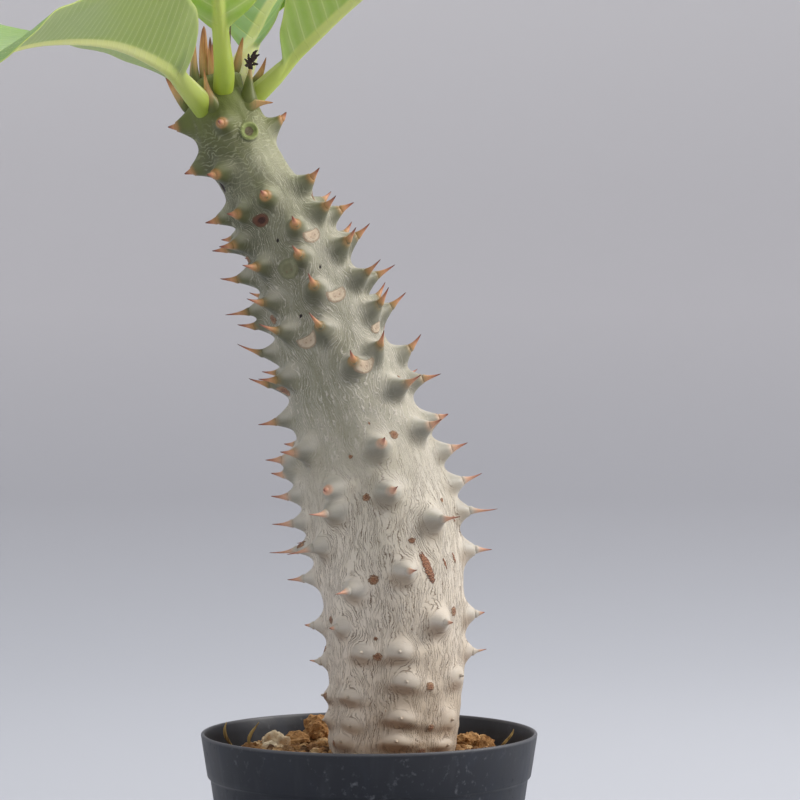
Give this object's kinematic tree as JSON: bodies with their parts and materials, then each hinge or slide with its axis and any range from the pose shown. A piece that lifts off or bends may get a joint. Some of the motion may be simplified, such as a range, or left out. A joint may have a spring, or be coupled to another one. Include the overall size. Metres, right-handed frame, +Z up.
{
  "type": "potted succulent plant",
  "caption": "Young leaning succulent with a thick spiny silvery stem and a crown of long green leaves, in a round black nursery pot with soil.",
  "frame": {"origin": "centre of the pot's underside, on the surface it stands on", "axes": "+Z up, the pictured side faces -Y, and the stem leans towards -X"},
  "size_m": [0.2155, 0.2126, 0.4145],
  "materials": {
    "pot": "matte",
    "soil": "matte",
    "stem": "matte",
    "leaf": "satin",
    "pumice": "matte",
    "dry_scrap": "matte"
  },
  "bodies": {
    "root": {"pot": "pot", "soil": "soil", "stem": "stem", "leaf_1": "leaf", "leaf_2": "leaf", "leaf_3": "leaf", "leaf_4": "leaf", "leaf_5": "leaf", "leaf_6": "leaf", "leaf_7": "leaf", "young_leaf": "leaf", "pumice_1": "pumice", "pumice_2": "pumice", "pumice_3": "pumice", "pumice_4": "pumice", "pumice_5": "pumice", "dry_scrap_1": "dry_scrap", "dry_scrap_2": "dry_scrap", "dry_scrap_3": "dry_scrap"}
  },
  "joints": []
}
